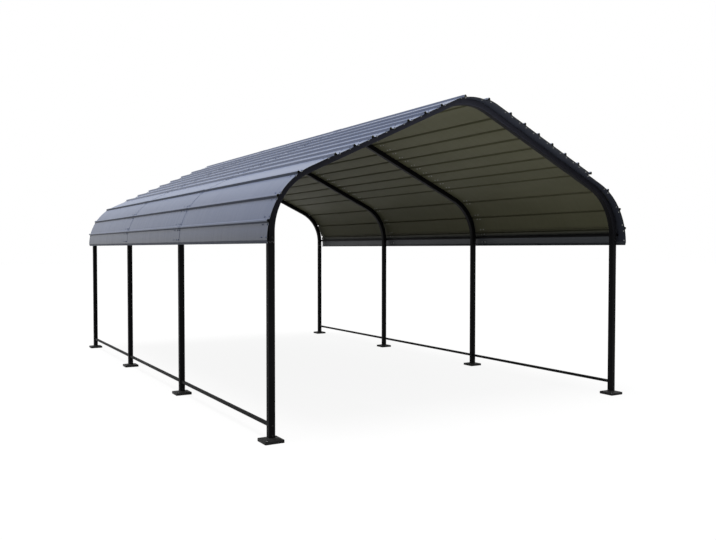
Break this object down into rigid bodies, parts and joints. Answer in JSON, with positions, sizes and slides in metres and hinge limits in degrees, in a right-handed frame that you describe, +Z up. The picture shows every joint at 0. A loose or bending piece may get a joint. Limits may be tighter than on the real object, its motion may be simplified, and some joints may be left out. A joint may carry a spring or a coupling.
{
  "type": "carport",
  "caption": "Open carport: arched square-tube frames on bolted foot pans, thin base rails and eave rails, and a curved roof of ribbed steel sheet over a drive-through bay.",
  "frame": {"origin": "on the floor, at the middle of the carport's box", "axes": "+Z up, Y along the roof with the front end at minus Y, X across between the two rows of posts"},
  "size_m": [3.71, 6.24, 2.6441],
  "materials": {
    "frame_black": "satin black powder coat",
    "foot_black": "satin dark powder coat",
    "roof_sheet": "blue-grey coated steel sheet, satin"
  },
  "bodies": {
    "root": {"foot_l1": "foot_black", "foot_l2": "foot_black", "foot_l3": "foot_black", "foot_l4": "foot_black", "foot_r1": "foot_black", "foot_r2": "foot_black", "foot_r3": "foot_black", "foot_r4": "foot_black", "leg_l1": "frame_black", "leg_l2": "frame_black", "leg_l3": "frame_black", "leg_l4": "frame_black", "leg_r1": "frame_black", "leg_r2": "frame_black", "leg_r3": "frame_black", "leg_r4": "frame_black", "bow_1": "frame_black", "bow_2": "frame_black", "bow_3": "frame_black", "bow_4": "frame_black", "rail_l1": "frame_black", "rail_l2": "frame_black", "rail_l3": "frame_black", "rail_r1": "frame_black", "rail_r2": "frame_black", "rail_r3": "frame_black", "girt_l": "frame_black", "girt_r": "frame_black", "eave_l1": "roof_sheet", "eave_l2": "roof_sheet", "eave_l3": "roof_sheet", "eave_r1": "roof_sheet", "eave_r2": "roof_sheet", "eave_r3": "roof_sheet", "slope_l1": "roof_sheet", "slope_l2": "roof_sheet", "slope_l3": "roof_sheet", "slope_r1": "roof_sheet", "slope_r2": "roof_sheet", "slope_r3": "roof_sheet", "ridge_1": "roof_sheet", "ridge_2": "roof_sheet", "ridge_3": "roof_sheet", "trim_l": "frame_black", "trim_r": "frame_black"}
  },
  "joints": []
}
